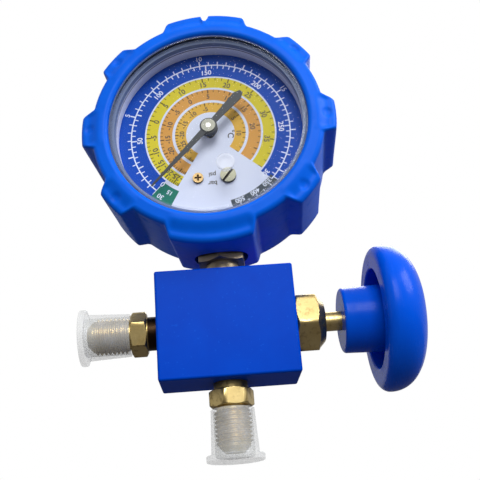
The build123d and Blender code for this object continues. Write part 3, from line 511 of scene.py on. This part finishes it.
def run(start, end, steps):
    """Points from start up to, but not at, end."""
    wide, high = end[0] - start[0], end[1] - start[1]
    return [(start[0] + wide * i / steps, start[1] + high * i / steps) for i in range(steps)]


BOOT_R, LIP_R, CASE_R = 36.8, 31.5, 34.0
FRONT_Y, BACK_Y = -20.2, 14.5
RIB_R, RIB_BACK_R, RIB_END_Y = 40.46, 40.0, 10.5
LENS_Y = -18.4
BOOT_TURN = radians(-2.0)
RIBS = [(radians(angle), 5.4) for angle in (40, 0, -40, -140, 180, 140)]
RIBS += [(pi / 2, 12.3), (-pi / 2, 12.3)]

outline = [(LIP_R, LENS_Y), (LIP_R, LENS_Y - 0.4)]
outline += arc((LIP_R + 1.4, FRONT_Y + 1.4), 1.4, 180, 270, 7)
outline += run((LIP_R + 1.6, FRONT_Y), (BOOT_R - 1.8, FRONT_Y + 0.3), 16)
outline += arc((BOOT_R - 1.8, FRONT_Y + 2.1), 1.8, 270, 360, 8)
outline += run((BOOT_R, FRONT_Y + 2.6), (BOOT_R, BACK_Y - 2.8), 34)
outline += arc((BOOT_R - 2.8, BACK_Y - 2.8), 2.8, 0, 90, 6)
outline += run((BOOT_R - 3.4, BACK_Y), (30.0, BACK_Y), 3)
outline += arc((29.8, BACK_Y - 0.8), 0.8, 90, 180, 3)
outline += [(29.0, 12.3)]
outline += arc((CASE_R - 2.0, 10.3), 2.0, 90, 0, 5)
outline += run((CASE_R, 10.0), (CASE_R, LENS_Y), 28) + [(CASE_R, LENS_Y)]

boot = bmesh.new()
profile = draw_line(boot, [(radius, y, 0) for radius, y in outline], closed=True)
bmesh.ops.spin(boot, geom=profile, axis=(0, 1, 0), angle=2 * pi, steps=576, use_merge=True)
bmesh.ops.remove_doubles(boot, verts=boot.verts, dist=1e-4)


def rib_lift(angle):
    """How far a rib stands out at this angle of the boot, from 0 between ribs to 1 on a crest."""
    lift = 0
    for place, half_width in RIBS:
        away = abs((angle - place + pi) % (2 * pi) - pi)
        if away < pi / 3:
            across = BOOT_R * sin(away)
            lift = max(lift, 1 - smooth(across, half_width - 1.2, half_width + 1.9))
    if abs(angle - pi / 2) < pi / 6:
        across = abs(RIB_R * cos(angle))
        lift *= 1 - 0.7 * (1 - smooth(across, 0.5, 1.4))
    return lift


DIMPLE_AT, DIMPLE_DEPTH, SCOOP_DEPTH = 37.6, 0.45, 1.6
dimples = [Vector((DIMPLE_AT * cos(angle), DIMPLE_AT * sin(angle))) for angle, half_width in RIBS[:6]]
for vertex in boot.verts:
    x, y, z = vertex.co
    radius = hypot(x, z)
    if radius < LIP_R + 1.5 or (radius < CASE_R + 0.2 and y > FRONT_Y + 0.5):
        continue
    angle = atan2(z, x)
    lift = rib_lift(angle)
    height = RIB_R + (RIB_BACK_R - RIB_R) * smooth(y, FRONT_Y, RIB_END_Y) - BOOT_R
    height *= 1 - smooth(y, RIB_END_Y - 0.8, RIB_END_Y + 2.8)
    wanted = radius + height * lift * smooth(radius, CASE_R - 1.4, BOOT_R - 1.4)
    x, z = wanted * cos(angle), wanted * sin(angle)
    back = SCOOP_DEPTH * lift * smooth(wanted, BOOT_R - 2.8, BOOT_R + 1.4)
    for centre in dimples:
        away = (Vector((x, z)) - centre).length
        back += DIMPLE_DEPTH * (1 - smooth(away, 0.6, 2.2))
    y += back * (1 - smooth(y, FRONT_Y + 1.0, FRONT_Y + 6.0))
    vertex.co = (x, y, z)
bmesh.ops.rotate(boot, verts=boot.verts, matrix=Matrix.Rotation(-BOOT_TURN, 3, "Y"))

NECK_R = 8.5
opening = [
    face
    for face in boot.faces
    if face.calc_center_median().z < -CASE_R / 2
    and hypot(face.calc_center_median().x, face.calc_center_median().y) < NECK_R
]
bmesh.ops.delete(boot, geom=opening, context="FACES")
seams = [edge for edge in boot.edges if edge.is_boundary]
for vertex in {vertex for edge in seams for vertex in edge.verts}:
    reach = hypot(vertex.co.x, vertex.co.y)
    vertex.co.x *= NECK_R / reach
    vertex.co.y *= NECK_R / reach
bmesh.ops.bridge_loops(boot, edges=seams)
boot_piece = make_piece("ribbed_boot", boot, IN_GAUGE, rubber, "manifold")
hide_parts("boot")

# ---------------------------------------------------------------- movement
# Blanked brass plates on pillars carry the toothed sector and the pinion; a bronze tube bent to
# a C uncurls under pressure and pulls the sector through a link, against a hairspring.

plate_brass = Finish("blanked_brass", Metallic=1.0)
spot = plate_brass.spot(AT_GAUGE)
rolled = plate_brass.noise(plate_brass.spot(AT_GAUGE, (0.1, 1, 1)), 0.2, 2.0)
tone = plate_brass.noise(spot, 3.0)
plate_brass.surfaces(
    Base_Color=plate_brass.blend(tone, srgb(200, 170, 96), srgb(226, 200, 128)),
    Roughness=0.28 + rolled * 0.16,
    Normal=plate_brass.bump(rolled, 0.008),
)

bronze = Finish("tube_bronze", Metallic=1.0)
spot = bronze.spot(AT_GAUGE)
drawn = bronze.noise(spot, 0.3, 2.0)
heat = bronze.noise(spot, 4.0)
bronze.surfaces(
    Base_Color=bronze.blend(heat, srgb(176, 122, 74), srgb(206, 158, 102)),
    Roughness=0.34 + drawn * 0.2,
    Normal=bronze.bump(drawn, 0.01),
)
dress(plate_brass, "movement_front_plate", "movement_back_plate", "movement_pillars", "sector_gear")
dress(plate_brass, "link", "tube_tip", "dial_posts")
dress(bronze, "bourdon_tube", "hairspring")
dress(nickel, "pinion_arbor", "movement_screws")

# ---------------------------------------------------------------- dial
# An aluminium disc, silk screened in blue, yellow and orange over white, with its pressure
# scale in white and three temperature scales in black.

START, FULL = -135.0, 135.0
SCALE_START, SCALE_SPAN = -147.0, 279.0
TICK_R = 25.8
dial = Finish("dial_print", Specular_IOR_Level=0.12)
spot = dial.spot(AT_GAUGE)
x, y, z = spot.parts()
radius = (x * x + z * z) ** 0.5
clock = x.math("ARCTAN2", z) * (180 / pi)
millimetres = radius * (pi / 180)


def marks(step, width, inner, outer, origin=START):
    """Even ticks round the dial: one every step degrees from the origin."""
    away = (clock - origin).math("PINGPONG", step / 2) * millimetres
    return away.below(width / 2) * radius.within(inner, outer)


def warped_marks(count, bend, width, inner, outer):
    """Ticks that draw together towards the start, as a vapour pressure scale does."""
    along = ((clock - SCALE_START) / SCALE_SPAN).math("MAXIMUM", 0.001)
    tick = along**bend * count
    spread = along ** (1 - bend) * (SCALE_SPAN / (count * bend))
    away = tick.math("PINGPONG", 0.5) * spread * millimetres
    return away.below(width / 2) * radius.within(inner, outer)


on_scale = clock.within(START, FULL)
on_rings = clock.within(SCALE_START, SCALE_START + SCALE_SPAN)
fade = dial.noise(spot, 6.0)
white = dial.blend(fade, srgb(205, 213, 236), srgb(218, 226, 244))
blue = dial.blend(fade, srgb(6, 66, 166), srgb(10, 76, 184))
colour = dial.blend(on_scale * radius.above(21.4), white, blue)
RINGS = (
    (17.1, 20.9, srgb(206, 192, 44), srgb(218, 204, 56)),
    (12.4, 16.4, srgb(204, 148, 70), srgb(216, 160, 82)),
    (7.9, 11.5, srgb(212, 166, 62), srgb(222, 178, 74)),
)
for inner, outer, deep, pale in RINGS:
    ring = on_rings * radius.within(inner, outer)
    colour = dial.blend(ring, colour, dial.blend(fade, deep, pale))
RETARD_START, RETARD_END, RETARD_R = 132.5, 168.5, 28.2
vacuum = clock.within(-150.0, START) * radius.within(22.2, 28.8)
colour = dial.blend(vacuum, colour, srgb(34, 116, 100))
retard = clock.within(RETARD_START, RETARD_END) * radius.within(24.6, RETARD_R)
colour = dial.blend(retard, colour, srgb(66, 76, 84))
white_marks = marks(4.5, 0.32, 24.5, TICK_R).either(marks(6.53, 0.32, TICK_R, 27.1))
white_marks = white_marks.either(marks(22.5, 0.42, 24.0, TICK_R))
white_marks = white_marks.either(marks(32.65, 0.42, TICK_R, 27.6))
white_marks = white_marks.either(radius.within(TICK_R - 0.2, TICK_R + 0.2)) * on_scale
retard_marks = marks(6.0, 0.3, 26.4, RETARD_R, RETARD_START) * retard
colour = dial.blend(white_marks.either(retard_marks), colour, srgb(214, 224, 244))
OUTER_BEND, MIDDLE_BEND, INNER_BEND = 0.66, 0.7, 0.66
black_marks = warped_marks(56, OUTER_BEND, 0.26, 19.9, 20.9)
black_marks = black_marks.either(warped_marks(14, OUTER_BEND, 0.4, 19.4, 20.9))
black_marks = black_marks.either(warped_marks(50, MIDDLE_BEND, 0.25, 15.5, 16.4))
black_marks = black_marks.either(warped_marks(12.5, MIDDLE_BEND, 0.38, 15.1, 16.4))
black_marks = black_marks.either(warped_marks(44, INNER_BEND, 0.24, 10.7, 11.5))
black_marks = black_marks.either(warped_marks(11, INNER_BEND, 0.36, 10.3, 11.5)) * on_rings
colour = dial.blend(black_marks * 0.9, colour, srgb(36, 34, 28))
mesh_weave = dial.noise(spot, 0.12, 1.0)
dial.surfaces(
    Base_Color=colour,
    Roughness=0.42 + mesh_weave * 0.12,
    Normal=dial.bump(mesh_weave, 0.004),
)
dress(dial, "dial_plate")

# The figures of the scales, screen printed on the dial as a layer of ink a few hundredths thick.

DIAL_Y, INK_T = -10.2, 0.02


def ink(name, deep, pale):
    """A matt printing ink."""
    made = Finish(name, IOR=1.5)
    patches = made.noise(made.spot(AT_GAUGE), 0.3)
    return made.surfaces(
        Base_Color=made.blend(patches, deep, pale),
        Roughness=0.4 + patches * 0.2,
        Normal=made.bump(patches, 0.004),
    )


def print_figures(name, figures, finish):
    """One ink layer of upright-outward numbers, each given as text, radius, clock angle and size."""
    layer = bmesh.new()
    for text, at, angle, size in figures:
        letters = bpy.data.curves.new(name, "FONT")
        letters.body = text
        letters.size = size
        letters.align_x = "CENTER"
        letters.align_y = "CENTER"
        letters.resolution_u = 3
        letters.offset = size * 0.018
        letters.extrude = INK_T / 2
        holder = bpy.data.objects.new(name, letters)
        flat = bpy.data.meshes.new_from_object(holder)
        outward = Matrix.Translation((0, DIAL_Y - INK_T / 2, at))
        turn = Matrix.Rotation(radians(angle), 4, "Y") @ outward
        flat.transform(turn @ Matrix.Rotation(pi / 2, 4, "X"))
        layer.from_mesh(flat)
        bpy.data.objects.remove(holder)
        bpy.data.curves.remove(letters)
        bpy.data.meshes.remove(flat)
    bmesh.ops.remove_doubles(layer, verts=layer.verts, dist=1e-5)
    return make_piece(name, layer, IN_GAUGE, finish, "manifold")


def on_warp(count, bend, tick):
    """The clock angle of a tick of a warped scale."""
    return SCALE_START + SCALE_SPAN * (tick / count) ** (1 / bend)


FIFTY_PSI, FIVE_BAR = 45.0, 65.3
pounds = [(str(50 * i), 22.9, START + FIFTY_PSI * i, 2.4) for i in range(7)]
bars = [(str(5 * i), 28.5, START + FIVE_BAR * i, 2.3) for i in range(1, 5)]
low = [("30", 26.6, -140.0, 2.2), ("15", 24.0, -144.0, 2.0)]
end = [("500", 25.4, 162.0, 2.1), ("400", 25.4, 150.0, 2.1), ("350", 25.4, 139.0, 2.1)]
white_ink = ink("white_ink", srgb(206, 216, 238), srgb(226, 234, 248))
print_figures("scale_figures_white", pounds + bars + low + end, white_ink)

outer = [(str(5 * i - 30), 18.35, on_warp(14, OUTER_BEND, i), 2.5) for i in range(1, 14)]
middle = [(str(5 * i - 35), 13.75, on_warp(12.5, MIDDLE_BEND, i), 2.3) for i in range(2, 12)]
inner = [(str(5 * i - 40), 9.15, on_warp(11, INNER_BEND, i), 2.1) for i in range(2, 11)]
black_ink = ink("black_ink", srgb(40, 36, 30), srgb(62, 56, 46))
unit = [("°C", 6.6, 97.0, 2.8), ("psi", 14.6, 181.0, 2.2), ("bar", 17.6, 181.0, 2.2)]
print_figures("scale_figures_black", outer + middle + inner + unit, black_ink)

# A cross-headed screw and the slotted zero adjuster stand on the dial; a bright ring holds its rim.

ring_metal = Finish("ring_aluminium", Metallic=0.05)
spot = ring_metal.spot(AT_GAUGE)
spun = ring_metal.noise(ring_metal.spot(AT_GAUGE, (0.1, 1, 0.1)), 0.2, 2.0)
cloud = ring_metal.noise(spot, 5.0)
x, y, z = spot.parts()
bright = ring_metal.blend(cloud, srgb(214, 222, 244), srgb(230, 236, 250))
# Painted light across the ring's wall: the dark band from y −14.1 to −14.5 mm is a painted shadow in a
# gap, the pale band from −14.5 to −15.0 mm a painted highlight on a bead, and the ring is greyer in
# front of −15.0 mm, painted to match the lens wall seen over it.
ring_painted_bands = ring_metal.blend(y.below(-14.1), bright, srgb(44, 52, 72))
ring_painted_bands = ring_metal.blend(y.below(-14.5), ring_painted_bands, srgb(206, 214, 238))
ring_painted_bands = ring_metal.blend(y.below(-15.0), ring_painted_bands, srgb(104, 122, 158))
ring_metal.surfaces(
    Base_Color=ring_painted_bands,
    Roughness=0.36 + spun * 0.2,
    Normal=ring_metal.bump(spun, 0.01),
)
dress(ring_metal, "dial_ring")

bronze_head = Finish("screw_bronze", Metallic=1.0)
spot = bronze_head.spot(AT_GAUGE)
x, y, z = spot.parts()
worn = bronze_head.noise(spot, 0.6)
SLOT_FLOOR_Y = -11.0
# Painted shade: everything behind y −11.0 mm, the slot's floor and the head's side, is darkened to stand
# in for the shade in the slot.
painted_slot_shade = y.above(SLOT_FLOOR_Y)
plain = bronze_head.blend(worn, srgb(136, 112, 74), srgb(184, 158, 112))
bronze_head.surfaces(
    Base_Color=bronze_head.blend(painted_slot_shade, plain, srgb(48, 36, 24)),
    Roughness=0.34 + worn * 0.2,
    Normal=bronze_head.bump(worn, 0.01),
)
dress(bronze_head, "dial_screw")

grey_steel = Finish("screw_steel", Metallic=0.8)
spot = grey_steel.spot(AT_GAUGE)
x, y, z = spot.parts()
worn = grey_steel.noise(spot, 0.7)
# Painted shade: the adjuster's slot floor and head side behind y −11.0 mm are darkened the same way.
painted_slot_shade = y.above(SLOT_FLOOR_Y)
plain = grey_steel.blend(worn, srgb(112, 112, 94), srgb(156, 156, 138))
grey_steel.surfaces(
    Base_Color=grey_steel.blend(painted_slot_shade, plain, srgb(40, 38, 34)),
    Roughness=0.36 + worn * 0.2,
    Normal=grey_steel.bump(worn, 0.01),
)
dress(grey_steel, "zero_adjuster")

# ---------------------------------------------------------------- pointer
# A needle blanked from thin aluminium and painted black, on a boss pressed on the arbor, under
# a bright turned cap.

needle_paint = Finish("needle_black", IOR=1.5)
spot = needle_paint.spot(AT_GAUGE)
dust = needle_paint.noise(spot, 0.5)
needle_paint.surfaces(
    Base_Color=needle_paint.blend(dust, srgb(22, 28, 34), srgb(46, 54, 60)),
    Roughness=0.42 + dust * 0.2,
    Normal=needle_paint.bump(dust, 0.01),
)
dress(needle_paint, "pointer")

hub_steel = Finish("hub_steel", Metallic=0.85)
spot = hub_steel.spot(AT_GAUGE)
x, y, z = spot.parts()
faced = hub_steel.noise(spot, 0.5)
from_axis = (x * x + z * z) ** 0.5
centre_dot = from_axis.below(0.42)
rings = from_axis.math("PINGPONG", 0.12) * 8
plain = hub_steel.blend(faced, srgb(112, 114, 104), srgb(148, 148, 138))
hub_steel.surfaces(
    Base_Color=hub_steel.blend(centre_dot, plain, srgb(30, 30, 28)),
    Roughness=0.42 + rings * 0.1,
    Normal=hub_steel.bump(rings, 0.01),
)
dress(hub_steel, "pointer_hub")

# ---------------------------------------------------------------- lens
# A clear acrylic cap on a rubber gasket, held down by the boot's lip. It is polished, with fine
# hairlines, and has a push-in plug over the adjuster.

dress(seal, "lens_gasket")

acrylic = Finish("lens_acrylic", IOR=1.49)
spot = acrylic.spot(AT_GAUGE)
hairlines = acrylic.noise(acrylic.spot(AT_GAUGE, (1, 1, 0.08)), 0.3, 3.0).ramp(0.62, 0.8)
smudge = acrylic.noise(spot, 8.0)
x, y, z = spot.parts()
# Painted reflection: beyond a radius of 30.1 mm the lens's side wall is painted paler and more opaque,
# standing in for the sheen it shows when seen edge on.
wall = ((x * x + z * z) ** 0.5).ramp(30.1, 30.6)
clear = acrylic.blend(smudge, srgb(60, 72, 104), srgb(92, 102, 132))
acrylic.surfaces(
    Base_Color=acrylic.blend(wall, clear, srgb(130, 146, 184)),
    Roughness=0.03 + hairlines * 0.12 + smudge * 0.04,
    Alpha=0.008 + hairlines * 0.012 + smudge * 0.008 + wall * 0.24,
    Normal=acrylic.bump(hairlines, 0.002),
)
dress(acrylic, "lens")

plug = Finish("plug_plastic", IOR=1.49)
spot = plug.spot(AT_GAUGE)
cloudy = plug.noise(spot, 1.5)
plug.surfaces(
    Base_Color=plug.blend(cloudy, srgb(220, 226, 240), srgb(238, 241, 248)),
    Roughness=0.14 + cloudy * 0.12,
    Alpha=0.16 + cloudy * 0.1,
    Normal=plug.bump(cloudy, 0.02),
)
dress(plug, "lens_plug")

# ---------------------------------------------------------------- stage
# A pale floor well under the object, three soft boxes, and the camera a little below the object,
# looking up along it.

FLOOR_Z, FLOOR_HALF = -0.115, 4
floor = Finish("floor_paper", Roughness=0.9)
fibres = floor.noise(floor.spot(), 3.0)
sight = floor.node("LightPath", None, ())
paper_colour = floor.blend(fibres, srgb(232, 232, 230), srgb(240, 240, 238))
floor.surfaces(Base_Color=floor.blend(sight, srgb(84, 82, 84), paper_colour))
ground = bmesh.new()
bmesh.ops.create_grid(ground, x_segments=1, y_segments=1, size=FLOOR_HALF)
bmesh.ops.translate(ground, verts=ground.verts, vec=(0, 0, FLOOR_Z))
paper = bpy.data.meshes.new("floor")
ground.to_mesh(paper)
ground.free()
paper.materials.append(floor.material)
floor_piece = bpy.data.objects.new("floor", paper)
bpy.context.scene.collection.objects.link(floor_piece)

SOFT_STRENGTH, GLOSSY_SHARE = 0.48, 0.1
world = bpy.data.worlds.new("studio")
bpy.context.scene.world = world
world.use_nodes = True
sky = world.node_tree
backdrop = sky.nodes["Background"]
path = sky.nodes.new("ShaderNodeLightPath")
seen = sky.nodes.new("ShaderNodeMath")
seen.operation = "MAXIMUM"
sky.links.new(path.outputs["Is Camera Ray"], seen.inputs[0])
sky.links.new(path.outputs["Is Transmission Ray"], seen.inputs[1])
shade = sky.nodes.new("ShaderNodeMix")
glossy = sky.nodes.new("ShaderNodeMath")
glossy.operation = "MULTIPLY_ADD"
glossy.use_clamp = True
sky.links.new(path.outputs["Is Glossy Ray"], glossy.inputs[0])
glossy.inputs[1].default_value = GLOSSY_SHARE
sky.links.new(seen.outputs[0], glossy.inputs[2])
sky.links.new(glossy.outputs[0], shade.inputs[0])
shade.inputs[2].default_value = SOFT_STRENGTH
shade.inputs[3].default_value = 1.0
sky.links.new(shade.outputs[0], backdrop.inputs["Strength"])
backdrop.inputs["Color"].default_value = (1, 1, 1, 1)


def soft_box(name, place, size, power):
    """A square lamp of so many metres and watts, turned to the object's middle."""
    lamp = bpy.data.lights.new(name, "AREA")
    lamp.size = size
    lamp.energy = power
    box = bpy.data.objects.new(name, lamp)
    bpy.context.scene.collection.objects.link(box)
    box.location = place
    aim = Vector((0, -0.01, 0.03))
    box.rotation_euler = (aim - Vector(place)).to_track_quat("-Z", "Y").to_euler()


soft_box("key_light", (0.06, -0.86, 0.46), 0.50, 6.2)
soft_box("side_light", (0.70, -0.34, 0.50), 0.40, 5.0)
soft_box("rim_light", (0.30, 0.60, 0.60), 0.50, 3.0)

camera_data = bpy.data.cameras.new("camera")
camera_data.sensor_width = 36
camera_data.lens = 60.63
camera = bpy.data.objects.new("camera", camera_data)
bpy.context.scene.collection.objects.link(camera)
eye = Vector((-0.00415, -0.25144, -0.06446))
target = Vector((0.00628, -0.010, 0.02887))
forward = (target - eye).normalized()
level = forward.cross(Vector((0, 0, 1))).normalized()
raised = level.cross(forward)
ROLL = -0.081
right = level * cos(ROLL) + raised * sin(ROLL)
up = raised * cos(ROLL) - level * sin(ROLL)
turn = Matrix((right, up, -forward)).transposed().to_4x4()
camera.matrix_world = Matrix.Translation(eye) @ turn
bpy.context.scene.camera = camera
bpy.context.scene.view_settings.view_transform = "Standard"
